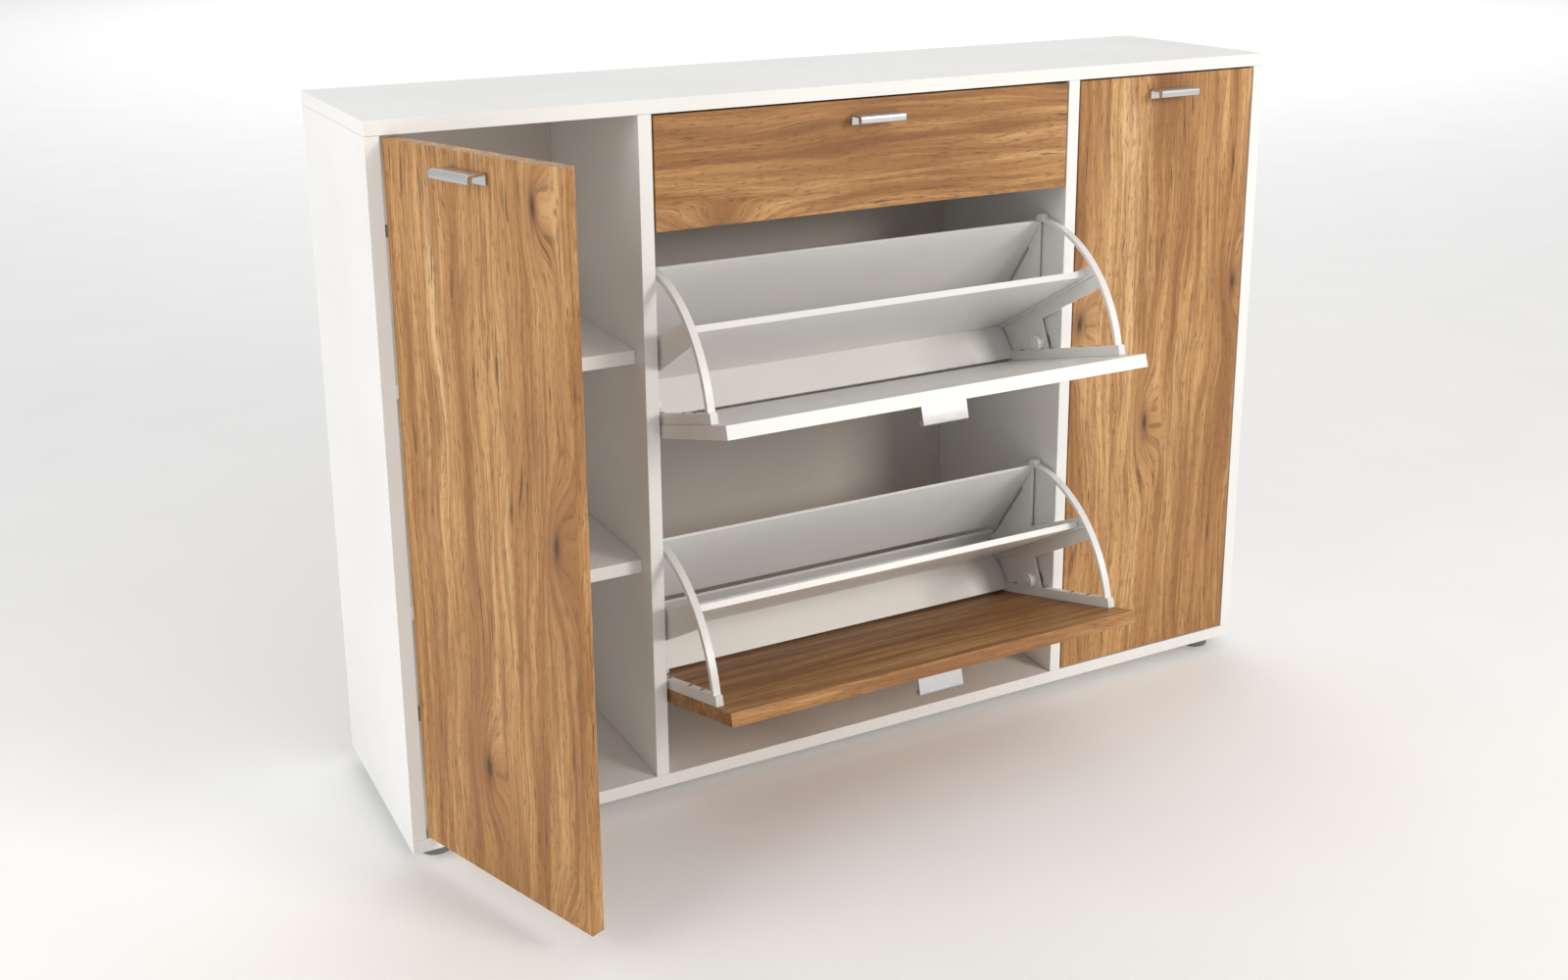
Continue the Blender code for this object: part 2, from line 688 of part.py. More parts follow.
def bearing_mesh():
    """Left pivot bearing: a disc on the divider with a stud into the bracket's boss."""
    face = GAP - DIVIDER_FACE
    plate = disc("x", (0, 0), BEARING_RADIUS, face, face + BEARING_THICK)
    stud = disc("x", (0, 0), STUD_RADIUS, face, face + BEARING_THICK + STUD_REACH, 24)
    return joined(plate, stud)


def add_flaps(frame):
    bracket = bracket_mesh()
    bearing = bearing_mesh()
    sections = shoe_board_outlines()
    panel_low = (-FRONT_HALF, PANEL_FRONT, -PIVOT_UP)
    panel_high = (FRONT_HALF, PANEL_BACK, FLAP_HEIGHT - PIVOT_UP)
    grip = (0, PANEL_FRONT, FLAP_HEIGHT - PIVOT_UP - HANDLE_DROP)
    for level, paint in (("upper", "white_board"), ("lower", "oak_board")):
        pivot = (0, PIVOT_BACK, PIVOT_HEIGHTS[level])
        flap = axis_frame(f"{level}_flap_axis", frame, pivot, (FLAP_OPEN, 0, 0))
        piece(f"{level}_flap_panel", box(panel_low, panel_high), flap, paint)
        piece(f"{level}_flap_handle", handle_mesh(), flap, "aluminium", grip, smooth=True)
        for name, outline in sections.items():
            board = prism(outline, "x", -SHOE_BOARD_HALF, SHOE_BOARD_HALF)
            piece(f"{level}_flap_{name}_board", board, flap, "white_plastic")
        for side in ("left", "right"):
            holder = sided(bracket.copy(), side)
            seat = sided(bearing.copy(), side)
            piece(f"{level}_flap_{side}_bracket", holder, flap, "white_plastic", smooth=True)
            piece(f"{level}_flap_{side}_bearing", seat, frame, "grey_plastic", pivot, smooth=True)


clear_scene()
cabinet = axis_frame("cabinet_frame", None, (0, FRONT_Y, FOOT_HEIGHT))
add_carcass(cabinet)
add_shelves(cabinet)
add_feet(cabinet)
add_doors(cabinet)
add_drawer(cabinet)
add_flaps(cabinet)
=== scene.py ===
# %% [markdown]
# # A shoe cabinet, finished for its picture
# The cabinet's solids come ready made as a frame: boards, flaps, fittings and joints. This
# script gives them the finish of the real furniture, which is melamine-faced chipboard with
# an oak pattern on the fronts, moulded plastic flap fittings, aluminium handles and plated
# hinges, and it adds the small fixings that the frame leaves out.

# %% Open the frame
import json
from math import cos, pi, radians, sin

import bmesh
import bpy
from mathutils import Matrix, Vector

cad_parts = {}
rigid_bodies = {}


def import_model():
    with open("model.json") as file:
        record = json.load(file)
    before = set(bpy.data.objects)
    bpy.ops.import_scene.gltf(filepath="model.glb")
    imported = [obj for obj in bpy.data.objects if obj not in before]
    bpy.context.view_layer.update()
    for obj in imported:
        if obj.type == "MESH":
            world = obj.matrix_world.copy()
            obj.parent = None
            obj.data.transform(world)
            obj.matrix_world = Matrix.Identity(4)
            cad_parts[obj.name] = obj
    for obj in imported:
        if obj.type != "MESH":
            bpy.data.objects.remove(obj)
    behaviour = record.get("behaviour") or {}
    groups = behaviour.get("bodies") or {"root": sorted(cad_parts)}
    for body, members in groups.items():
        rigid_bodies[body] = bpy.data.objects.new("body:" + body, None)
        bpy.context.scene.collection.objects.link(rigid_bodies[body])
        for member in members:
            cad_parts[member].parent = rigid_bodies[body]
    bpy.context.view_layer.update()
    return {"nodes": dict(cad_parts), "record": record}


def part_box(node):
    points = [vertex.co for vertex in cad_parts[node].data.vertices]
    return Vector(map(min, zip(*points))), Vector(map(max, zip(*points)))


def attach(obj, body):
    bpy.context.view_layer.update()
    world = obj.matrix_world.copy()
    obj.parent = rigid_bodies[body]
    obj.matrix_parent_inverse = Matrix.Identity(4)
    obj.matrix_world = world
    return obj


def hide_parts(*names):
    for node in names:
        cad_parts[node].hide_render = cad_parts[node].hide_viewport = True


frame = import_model()
record = frame["record"]
body_of = {node: body for body, nodes in record["behaviour"]["bodies"].items() for node in nodes}
slot_of = {part["node"]: part["material_slot"] for part in record["subparts"]}
pivot_of = {
    joint["child"]: Vector(joint["pos_m"])
    for joint in record["behaviour"]["joints"] if joint["type"] == "hinge"
}
MM = 0.001

# %% [markdown]
# ## Camera
# Furniture is often pictured with upright lines kept upright, by a lens moved down across
# the sensor. Part of that move is kept here, as a small shift, and the rest is a downward
# tilt, so that the camera can still be walked round the cabinet. It stands to the left at
# eye height.

# %% Camera
camera_data = bpy.data.cameras.new("camera")
camera_data.sensor_width = 36
camera_data.lens = 39.18
camera_data.shift_y = -0.12
camera_data.clip_start = 0.05
camera = bpy.data.objects.new("camera", camera_data)
look_right, look_down, lean = radians(27.47), radians(14.46), radians(-0.48)
camera.matrix_world = (
    Matrix.Translation((-1.134, -1.935, 1.235))
    @ Matrix.Rotation(-look_right, 4, "Z")
    @ Matrix.Rotation(pi / 2 - look_down, 4, "X")
    @ Matrix.Rotation(lean, 4, "Z")
)
bpy.context.scene.collection.objects.link(camera)
bpy.context.scene.camera = camera
print("camera at", tuple(round(v, 2) for v in camera.location))

# %% [markdown]
# ## Colours and nodes
# Colours are written as the hex values a designer would read from a sample, and one function
# turns them to the linear values that shaders need. One helper adds any node: its settings
# are named, its sockets take a value or another node, and a colour ramp takes its stops.
# Another puts an object in the scene.

# %% Colour, node and object helpers
def linear(code):
    """Linear RGBA of a hex colour."""
    channels = [int(code[i:i + 2], 16) / 255 for i in (1, 3, 5)]
    return (*[c / 12.92 if c <= 0.04045 else ((c + 0.055) / 1.055) ** 2.4 for c in channels], 1.0)


def add(tree, kind, links=None, stops=(), **settings):
    """Add a node. A socket given a node takes the first output that the node has in use."""
    node = tree.nodes.new(kind)
    for name, value in settings.items():
        setattr(node, name, value)
    for socket, value in (links or {}).items():
        if isinstance(value, bpy.types.Node):
            value = next(output for output in value.outputs if output.enabled)
        if isinstance(value, bpy.types.NodeSocket):
            tree.links.new(value, node.inputs[socket])
        else:
            node.inputs[socket].default_value = value
    for place, code in stops[2:]:
        node.color_ramp.elements.new(place)
    for point, (place, code) in zip(node.color_ramp.elements if stops else (), stops):
        point.position = place
        point.color = linear(code)
    return node


def new_finish(name, **sockets):
    """Material with one Principled shader, whose constant sockets are set here."""
    material = bpy.data.materials.new(name)
    material.use_nodes = True
    shader = material.node_tree.nodes["Principled BSDF"]
    for socket, value in sockets.items():
        shader.inputs[socket.replace("_", " ").title().replace("Ior", "IOR")].default_value = value
    return material, material.node_tree, shader


def plug(tree, shader, **sources):
    """Link nodes to the shader's sockets."""
    for socket, node in sources.items():
        output = next(output for output in node.outputs if output.enabled)
        tree.links.new(output, shader.inputs[socket.replace("_", " ").title()])


def object_from(name, data):
    item = bpy.data.objects.new(name, data)
    bpy.context.scene.collection.objects.link(item)
    return item


print("oak tone in linear light:", [round(v, 3) for v in linear("#b5885a")])

# %% [markdown]
# ## White melamine
# The carcass is chipboard faced with melamine resin, pressed against a steel plate with a
# very fine pearl texture. The eye sees an even, slightly warm white with a soft sheen, and
# only at a glancing angle a fine unevenness. Grains of about 0.8 mm in the bump give that,
# with a slow drift in the gloss, as wiping leaves it.

# %% White melamine
def plain_finish(name, shade, tint, grain_mm, depth_mm, strength, gloss, **sockets):
    """Finish of one colour: bump of a pressed or moulded skin, slow drift in tone and gloss."""
    material, tree, shader = new_finish(name, **sockets)
    spot = add(tree, "ShaderNodeTexCoord").outputs["Object"]
    scale = 1 / (grain_mm * MM)
    grain = add(tree, "ShaderNodeTexNoise", {"Vector": spot, "Scale": scale, "Detail": 2.0})
    bump = add(tree, "ShaderNodeBump", {
        "Height": grain, "Strength": strength, "Distance": depth_mm * MM,
    })
    drift = add(tree, "ShaderNodeTexNoise", {"Vector": spot, "Scale": 4.0, "Detail": 3.0})
    rough = add(
        tree, "ShaderNodeMapRange",
        {"Value": drift, "From Min": 0.3, "From Max": 0.7, "To Min": gloss[0], "To Max": gloss[1]},
    )
    colour = add(tree, "ShaderNodeValToRGB", {"Fac": drift}, stops=[(0.35, shade), (0.65, tint)])
    plug(tree, shader, base_color=colour, roughness=rough, normal=bump)
    return material


melamine = plain_finish(
    "white_melamine", "#ececea", "#f1f1ef",
    grain_mm=0.8, depth_mm=0.03, strength=0.25, gloss=(0.36, 0.44), ior=1.5,
)
print("finish:", melamine.name)

# %% [markdown]
# ## Plastics and metals
# The flap brackets and shoe boards are moulded ABS with an even satin skin. The feet are
# darker polypropylene. The handles are extruded aluminium, satin anodised, with die lines
# that run along the bar. The handle of the open door lies askew to the axes, so it has a
# finish of its own. The hinges are nickel-plated pressed steel. The roller runners are steel
# with a white powder coat, whose orange peel has grains of about 1.5 mm.

# %% Plastics and metals
abs_white = plain_finish(
    "white_abs", "#e9e9e7", "#eeeeec",
    grain_mm=0.5, depth_mm=0.02, strength=0.2, gloss=(0.3, 0.38), ior=1.53,
)
grey_feet = plain_finish(
    "grey_polypropylene", "#66696a", "#727573",
    grain_mm=0.4, depth_mm=0.04, strength=0.4, gloss=(0.48, 0.58), ior=1.49,
)
powder = plain_finish(
    "powder_coated_steel", "#e2e2df", "#e8e8e5",
    grain_mm=1.5, depth_mm=0.05, strength=0.3, gloss=(0.28, 0.36), ior=1.5,
)


def metal_finish(name, shade, tint, per_metre, gloss):
    """Metal with fine lines along the axis that has few of them per metre."""
    material, tree, shader = new_finish(name, metallic=1.0)
    spot = add(tree, "ShaderNodeTexCoord").outputs["Object"]
    lines = add(tree, "ShaderNodeMapping", {"Vector": spot, "Scale": per_metre})
    drawn = add(tree, "ShaderNodeTexNoise", {"Vector": lines, "Scale": 1.0, "Detail": 3.0})
    colour = add(tree, "ShaderNodeValToRGB", {"Fac": drawn}, stops=[(0.3, shade), (0.7, tint)])
    rough = add(
        tree, "ShaderNodeMapRange",
        {"Value": drawn, "From Min": 0.3, "From Max": 0.7, "To Min": gloss[0], "To Max": gloss[1]},
    )
    bump = add(tree, "ShaderNodeBump", {"Height": drawn, "Strength": 0.15, "Distance": 0.02 * MM})
    plug(tree, shader, base_color=colour, roughness=rough, normal=bump)
    return material


anodised = metal_finish(
    "satin_anodised_aluminium", "#bfbfc1", "#cfcfd0", per_metre=(60, 2500, 2500), gloss=(0.3, 0.4),
)
anodised_turned = metal_finish(
    "satin_anodised_aluminium_turned", "#bfbfc1", "#cfcfd0",
    per_metre=(900, 900, 2500), gloss=(0.3, 0.4),
)
nickel = metal_finish(
    "nickel_plated_steel", "#a9a8a6", "#bab9b6", per_metre=(700, 700, 700), gloss=(0.22, 0.3),
)
print("plastics and metals:", [m.name for m in (abs_white, grey_feet, powder, anodised, nickel)])

# %% [markdown]
# ## Oak pattern
# The fronts carry a printed oak pattern under the same resin: tan wood with brown streaks
# along the grain, a few dark knots that the grain flows round, short splits, and fine pores.
# Each layer is noise stretched along the grain, with its width and length in millimetres. A
# slow sway and the knots bend the space that the layers are drawn in. The print wraps round
# the edges, so depth into the board counts as width does. Each front has its own place in
# the print, and its grain runs up the doors and along the drawer and the flap.

# %% Layers of the oak pattern
# Each layer has a width and a length in millimetres, a shift in its noise, two levels of that
# noise, and the detail that it carries.
OAK_LAYERS = {
    "sway": (240, 900, 0.0, (0.25, 0.75), 3.0),
    "tremble": (12, 90, 5.0, (0.3, 0.7), 3.0),
    "planks": (85, 1500, 3.1, (0.32, 0.68), 3.0),
    "figure": (16, 520, 7.7, (0.30, 0.70), 6.0),
    "splits": (6, 110, 31.1, (0.62, 0.68), 2.0),
    "split_areas": (60, 240, 37.7, (0.48, 0.60), 2.0),
    "streaks": (3.4, 130, 11.3, (0.44, 0.62), 5.0),
    "pores": (1.9, 19, 17.9, (0.53, 0.66), 3.0),
    "bands": (13, 260, 41.3, (0.48, 0.66), 6.0),
}
KNOT_CELL_MM = (130, 370)


def layer(tree, space, name):
    """Streaks of one layer: 0 below the first level of their noise, 1 above the second."""
    width_mm, length_mm, shift, levels, detail = OAK_LAYERS[name]
    point = add(tree, "ShaderNodeMapping", {
        "Vector": space, "Location": (shift, shift, shift),
        "Scale": (1 / (width_mm * MM), 1 / (length_mm * MM), 1 / (width_mm * MM)),
    })
    noise = add(tree, "ShaderNodeTexNoise", {
        "Vector": point, "Scale": 1.0, "Detail": detail, "Roughness": 0.6,
    })
    return add(
        tree, "ShaderNodeMapRange", {"Value": noise, "From Min": levels[0], "From Max": levels[1]},
        interpolation_type="SMOOTHSTEP",
    )


def bend(tree, space, amount, reach_mm):
    """Space pushed across the grain, by an amount from 0 to 1 of a reach."""
    push = add(tree, "ShaderNodeMapRange", {
        "Value": amount, "To Min": -reach_mm * MM, "To Max": reach_mm * MM,
    })
    across = add(tree, "ShaderNodeCombineXYZ", {"X": push})
    return add(tree, "ShaderNodeVectorMath", {0: space, 1: across}, operation="ADD")


def knot_distance(tree, space, share):
    """Distance from the nearest cell's point, and 1 where that point has a knot."""
    width_mm, length_mm = KNOT_CELL_MM
    cells = add(tree, "ShaderNodeMapping", {
        "Vector": space, "Scale": (1 / (width_mm * MM), 1 / (length_mm * MM), 0),
    })
    knots = add(
        tree, "ShaderNodeTexVoronoi", {"Vector": cells, "Scale": 1.0, "Randomness": 1.0},
        voronoi_dimensions="2D",
    )
    chance = add(tree, "ShaderNodeSeparateXYZ", {0: knots.outputs["Color"]})
    chosen = add(tree, "ShaderNodeMath", {0: chance, 1: share}, operation="LESS_THAN")
    return knots.outputs["Distance"], chosen


def spot_mask(tree, distance, chosen, size):
    """1 at a knot's middle, falling to 0 at a size."""
    fall = add(
        tree, "ShaderNodeMapRange", {"Value": distance, "From Max": size, "To Min": 1.0, "To Max": 0.0},
        interpolation_type="SMOOTHSTEP",
    )
    return add(tree, "ShaderNodeMath", {0: fall, 1: chosen}, operation="MULTIPLY")


print("knot cells are", round(KNOT_CELL_MM[1] / KNOT_CELL_MM[0], 1), "times as long as wide")

# %% [markdown]
# ## Oak finish
# Planks and figure choose a tone between dark and pale tan. Darker layers then go over it,
# each with a strength and a brown of its own: bands, streaks, pores, the surrounds of knots,
# splits, and the knots themselves. Pores and splits are also pressed a little into the face.
# The reaches below say how far each bend moves the grain, and a knot's sizes are in cells.

# %% Oak finish
SWAY_MM, KNOT_PUSH_MM, TREMBLE_MM = 17, 15, 0.9
KNOT_SHARE = 0.34
KNOT_PUSH_SIZE, KNOT_HALO, KNOT_BODY, KNOT_HEART = 0.34, 0.30, 0.12, 0.055
PORE_DEPTH = 0.1 * MM


def oak_finish(name, place, turn, grain_up, start):
    """Oak print of one front. Place and turn bring it upright, start picks its part."""
    material, tree, shader = new_finish(name, ior=1.5)
    spot = add(tree, "ShaderNodeTexCoord").outputs["Object"]
    board = add(
        tree, "ShaderNodeMapping", {"Vector": spot, "Location": place, "Rotation": turn},
        vector_type="TEXTURE",
    )
    axes = add(tree, "ShaderNodeSeparateXYZ", {0: board})
    across, along = ("X", "Z") if grain_up else ("Z", "X")
    flat = add(tree, "ShaderNodeCombineXYZ", {
        "X": axes.outputs[across], "Y": axes.outputs[along], "Z": axes.outputs["Y"],
    })
    sheet = add(tree, "ShaderNodeVectorMath", {0: flat, 1: (start, start, 0)}, operation="ADD")

    swayed = bend(tree, sheet, layer(tree, sheet, "sway"), SWAY_MM)
    distance, chosen = knot_distance(tree, swayed, KNOT_SHARE)
    pushed = spot_mask(tree, distance, chosen, KNOT_PUSH_SIZE)
    bent = bend(tree, swayed, pushed, KNOT_PUSH_MM)
    trembling = bend(tree, bent, layer(tree, bent, "tremble"), TREMBLE_MM)

    planks = layer(tree, bent, "planks")
    figure = layer(tree, trembling, "figure")
    tone = add(tree, "ShaderNodeMix", {0: 0.5, 2: planks, 3: figure})
    colour = add(tree, "ShaderNodeValToRGB", {"Fac": tone}, stops=[
        (0.0, "#87582b"), (0.28, "#a67540"), (0.52, "#bd8d55"), (0.75, "#cfa169"), (1.0, "#deb783"),
    ])
    splits = add(tree, "ShaderNodeMath", {
        0: layer(tree, trembling, "splits"), 1: layer(tree, bent, "split_areas"),
    }, operation="MULTIPLY")
    streaks = layer(tree, trembling, "streaks")
    pores = layer(tree, trembling, "pores")
    for mask, strength, code in (
        (layer(tree, trembling, "bands"), 0.52, "#7d4d22"),
        (streaks, 0.5, "#8a5b30"),
        (pores, 0.58, "#6c4625"),
        (spot_mask(tree, distance, chosen, KNOT_HALO), 0.42, "#8a5a2f"),
        (splits, 0.78, "#4f321b"),
        (spot_mask(tree, distance, chosen, KNOT_BODY), 0.62, "#5f3b1f"),
        (spot_mask(tree, distance, chosen, KNOT_HEART), 0.85, "#38220f"),
    ):
        amount = add(tree, "ShaderNodeMath", {0: mask, 1: strength}, operation="MULTIPLY")
        colour = add(tree, "ShaderNodeMix", {0: amount, 6: colour, 7: linear(code)}, data_type="RGBA")

    dents = add(tree, "ShaderNodeMath", {0: pores, 1: splits}, operation="ADD")
    bump = add(
        tree, "ShaderNodeBump", {"Height": dents, "Strength": 0.3, "Distance": PORE_DEPTH},
        invert=True,
    )
    rough = add(tree, "ShaderNodeMapRange", {"Value": streaks, "To Min": 0.5, "To Max": 0.6})
    plug(tree, shader, base_color=colour, roughness=rough, normal=bump)
    return material


open_angle = {
    joint["child"]: radians(-joint["range_deg"][0])
    for joint in record["behaviour"]["joints"] if joint["type"] == "hinge"
}
DOOR_OPEN = open_angle["left_door"]
FLAP_OPEN = open_angle["lower_flap"]
FLAT = (0, 0, 0)
oak = {
    "left_door": oak_finish(
        "oak_left_door", pivot_of["left_door"], (0, 0, -DOOR_OPEN), grain_up=True, start=1.3),
    "right_door": oak_finish(
        "oak_right_door", pivot_of["right_door"], FLAT, grain_up=True, start=4.6),
    "drawer_front": oak_finish(
        "oak_drawer_front", (0, 0, 0), FLAT, grain_up=False, start=8.2),
    "lower_flap_panel": oak_finish(
        "oak_lower_flap", pivot_of["lower_flap"], (FLAP_OPEN, 0, 0), grain_up=False, start=12.4),
}
print("oak fronts:", list(oak))

# %% [markdown]
# ## Back panel
# The back is thin hardboard, left raw on the face behind. The face that shows inside the cabinet
# is lacquered, and its colour is a warm grey-white, darker than the white boards: painted shade
# for the dim, warm inside of the cabinet. Raw hardboard is brown pressed fibre, with a slightly
# mottled, matt surface. The two faces share a board 3 mm thick, so depth tells them apart.

# %% Hardboard back
def hardboard_finish(name, split_y):
    """Front face in a warm grey-white that is painted shade, raw fibre behind the split."""
    material, tree, shader = new_finish(name, ior=1.5)
    spot = add(tree, "ShaderNodeTexCoord").outputs["Object"]
    fibres = add(tree, "ShaderNodeTexNoise", {
        "Vector": spot, "Scale": 420.0, "Detail": 6.0, "Roughness": 0.7,
    })
    brown = add(tree, "ShaderNodeValToRGB", {"Fac": fibres}, stops=[
        (0.3, "#7b5a3d"), (0.5, "#94704e"), (0.7, "#a98561"),
    ])
    depth = add(tree, "ShaderNodeSeparateXYZ", {0: spot}).outputs["Y"]
    raw = add(tree, "ShaderNodeMath", {0: depth, 1: split_y}, operation="GREATER_THAN")
    # The front face's warm grey-white #d9d1ca is painted shade, standing in for the dim warm light
    # inside the cabinet.
    colour = add(tree, "ShaderNodeMix", {0: raw, 6: linear("#d9d1ca"), 7: brown}, data_type="RGBA")
    rough = add(tree, "ShaderNodeMapRange", {"Value": raw, "To Min": 0.42, "To Max": 0.8})
    bump = add(tree, "ShaderNodeBump", {"Height": fibres, "Strength": 0.3, "Distance": 0.05 * MM})
    plug(tree, shader, base_color=colour, roughness=rough, normal=bump)
    return material


RAW_SKIN = 0.5 * MM
split_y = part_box("back_panel")[1].y - RAW_SKIN
hardboard = hardboard_finish("hardboard_back_painted_shade", split_y)
print("back panel splits at", round(split_y, 4))

# %% [markdown]
# ## Eased edges
# No real board has a knife edge: edge banding is scraped to a radius of half a millimetre or
# so, and moulded plastic has radii from its tool. Light catches on those edges, so each
# sharp solid is copied, its triangles are merged into whole faces, and its edges are bevelled.
# The copy replaces the sharp one in the picture.

# %% Eased boards and mouldings
MERGE = 0.02 * MM
RADIUS_MM = {
    "white_board": 0.5, "oak_board": 0.5, "white_plastic": 0.5, "aluminium": 0.35,
    "grey_plastic": 0.8,
}


def eased(node, finish, radius_mm):
    """Replace a solid by a copy of it with bevelled edges."""
    mesh = frame["nodes"][node].data.copy()
    bm = bmesh.new()
    bm.from_mesh(mesh)
    bmesh.ops.remove_doubles(bm, verts=bm.verts, dist=MERGE)
    bmesh.ops.dissolve_limit(bm, angle_limit=radians(1), verts=bm.verts, edges=bm.edges)
    bm.to_mesh(mesh)
    bm.free()
    draft = object_from("draft", mesh)
    bevel = draft.modifiers.new("edge", "BEVEL")
    bevel.width = radius_mm * MM
    bevel.segments = 2
    bevel.limit_method = "ANGLE"
    bevel.angle_limit = radians(40)
    graph = bpy.context.evaluated_depsgraph_get()
    result = bpy.data.meshes.new_from_object(draft.evaluated_get(graph))
    bpy.data.objects.remove(draft)
    result.shade_smooth()
    result.set_sharp_from_angle(angle=radians(22))
    result.materials.clear()
    result.materials.append(finish)
    piece = object_from(node + "_eased", result)
    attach(piece, body_of[node])
    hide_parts(node)


def finish_of(node):
    """Material of a solid, from its own name or its slot."""
    if node in oak:
        return oak[node]
    if node == "back_panel":
        return hardboard
    if node == "left_door_handle":
        return anodised_turned
    return {
        "white_board": melamine, "white_plastic": abs_white, "grey_plastic": grey_feet,
        "aluminium": anodised, "steel": nickel, "coated_steel": powder,
    }[slot_of[node]]


for node in frame["nodes"]:
    if node == "back_panel" or slot_of[node] not in RADIUS_MM:
        source = frame["nodes"][node]
        source.data.materials.clear()
        source.data.materials.append(finish_of(node))
    else:
        eased(node, finish_of(node), RADIUS_MM[slot_of[node]])

# %% [markdown]
# ## Screws, pins and nails
# Fixings repeat, so Geometry Nodes place them. A list of points, each with the way it faces,
# goes in, and a head modelled once is set on each one and turned to face that way. The result
# is made real, given its finish, and turned into a plain mesh for the body that it rides on.
# A head sinks a little into what it holds, so that no gap shows under its rim.

# %% Fixing heads
SINK = 0.2 * MM


def turned(profile, sides=24):
    """Closed head turned about Z from a profile of (radius, height) points, top first."""
    bm = bmesh.new()
    rows = []
    for radius, height in profile:
        if radius == 0:
            rows.append([bm.verts.new((0, 0, height))])
        else:
            ring = [2 * pi * i / sides for i in range(sides)]
            rows.append([bm.verts.new((radius * cos(a), radius * sin(a), height)) for a in ring])
    for upper, lower in zip(rows, rows[1:]):
        for i in range(sides):
            corners = [upper[i % len(upper)], upper[(i + 1) % len(upper)]]
            corners += [lower[(i + 1) % len(lower)], lower[i % len(lower)]]
            bm.faces.new(list(dict.fromkeys(corners)))
    bmesh.ops.recalc_face_normals(bm, faces=bm.faces)
    mesh = bpy.data.meshes.new("head")
    bm.to_mesh(mesh)
    bm.free()
    return mesh


def cross_head(radius, rise):
    """Screw head with a cross recess."""
    dome = [
        (0, rise), (radius * 0.55, rise * 0.94), (radius * 0.85, rise * 0.66), (radius, rise * 0.2),
    ]
    head = object_from("head", turned(dome + [(radius, -SINK), (0, -SINK)]))
    for turn in (0, pi / 2):
        bm = bmesh.new()
        bmesh.ops.create_cube(bm, size=1)
        bmesh.ops.scale(bm, verts=bm.verts, vec=(radius * 1.15, radius * 0.26, rise * 1.2))
        bmesh.ops.rotate(bm, verts=bm.verts, matrix=Matrix.Rotation(turn, 3, "Z"))
        bmesh.ops.translate(bm, verts=bm.verts, vec=(0, 0, rise))
        blade_mesh = bpy.data.meshes.new("blade")
        bm.to_mesh(blade_mesh)
        bm.free()
        blade = object_from("blade", blade_mesh)
        slot = head.modifiers.new("slot", "BOOLEAN")
        slot.operation = "DIFFERENCE"
        slot.object = blade
    graph = bpy.context.evaluated_depsgraph_get()
    mesh = bpy.data.meshes.new_from_object(head.evaluated_get(graph))
    for item in [head] + [o for o in bpy.data.objects if o.name.startswith("blade")]:
        bpy.data.objects.remove(item)
    return object_from("cross_head", mesh)


screw_head = cross_head(3.5 * MM, 1.6 * MM)
print("screw head faces:", len(screw_head.data.polygons))

# %% [markdown]
# ## Heads on points
# The tree reads each point's own facing, and turns the head's Z axis to it. One function runs
# any such tree on an object and keeps what comes out as a piece of the cabinet.

# %% Node tree that sets a head on each point
def head_tree():
    """Tree that sets a head on each point, turned to the point's facing."""
    tree = bpy.data.node_groups.new("heads_on_points", "GeometryNodeTree")
    tree.interface.new_socket("Geometry", in_out="INPUT", socket_type="NodeSocketGeometry")
    tree.interface.new_socket("Head", in_out="INPUT", socket_type="NodeSocketObject")
    tree.interface.new_socket("Finish", in_out="INPUT", socket_type="NodeSocketMaterial")
    tree.interface.new_socket("Geometry", in_out="OUTPUT", socket_type="NodeSocketGeometry")
    given = add(tree, "NodeGroupInput")
    facing = add(
        tree, "GeometryNodeInputNamedAttribute", {"Name": "facing"}, data_type="FLOAT_VECTOR",
    )
    turn = add(
        tree, "FunctionNodeAlignRotationToVector", {"Vector": facing.outputs["Attribute"]}, axis="Z",
    )
    head = add(tree, "GeometryNodeObjectInfo", {"Object": given.outputs["Head"]})
    heads = add(tree, "GeometryNodeInstanceOnPoints", {
        "Points": given.outputs["Geometry"], "Instance": head.outputs["Geometry"],
        "Rotation": turn.outputs["Rotation"],
    })
    real = add(tree, "GeometryNodeRealizeInstances", {"Geometry": heads.outputs["Instances"]})
    painted = add(tree, "GeometryNodeSetMaterial", {
        "Geometry": real.outputs["Geometry"], "Material": given.outputs["Finish"],
    })
    add(tree, "NodeGroupOutput", {"Geometry": painted.outputs["Geometry"]})
    return tree


heads_on_points = head_tree()


def run_tree(name, source, tree, values, body):
    """Give an object the tree with its named inputs, and keep the result as a plain piece."""
    step = source.modifiers.new("nodes", "NODES")
    step.node_group = tree
    for item in tree.interface.items_tree:
        if item.in_out == "INPUT" and item.name in values:
            step[item.identifier] = values[item.name]
    graph = bpy.context.evaluated_depsgraph_get()
    mesh = bpy.data.meshes.new_from_object(source.evaluated_get(graph))
    bpy.data.objects.remove(source)
    mesh.shade_smooth()
    mesh.set_sharp_from_angle(angle=radians(35))
    piece = object_from(name, mesh)
    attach(piece, body)
    print(name, "has", len(mesh.polygons), "faces")


def heads_at(name, spots, head, finish, body):
    """Heads at (place, facing) pairs."""
    mesh = bpy.data.meshes.new("points")
    mesh.from_pydata([tuple(place) for place, facing in spots], [], [])
    attribute = mesh.attributes.new("facing", "FLOAT_VECTOR", "POINT")
    for i, (place, facing) in enumerate(spots):
        attribute.data[i].vector = facing
    values = {"Head": head, "Finish": finish}
    run_tree(name, object_from("points", mesh), heads_on_points, values, body)


print("tree inputs:", [item.name for item in heads_on_points.interface.items_tree])

# %% [markdown]
# ## Where the fixings go
# Hinge cups are held by two screws 48 mm apart, and mounting plates by two that are 32 mm
# apart, as their standard drilling has it. Each arm has two more, which adjust it. Places on
# a door or a flap are written as if it were closed, and turned with it about its own pivot.
# On a door they are measured in from its outer edge and back from its front.

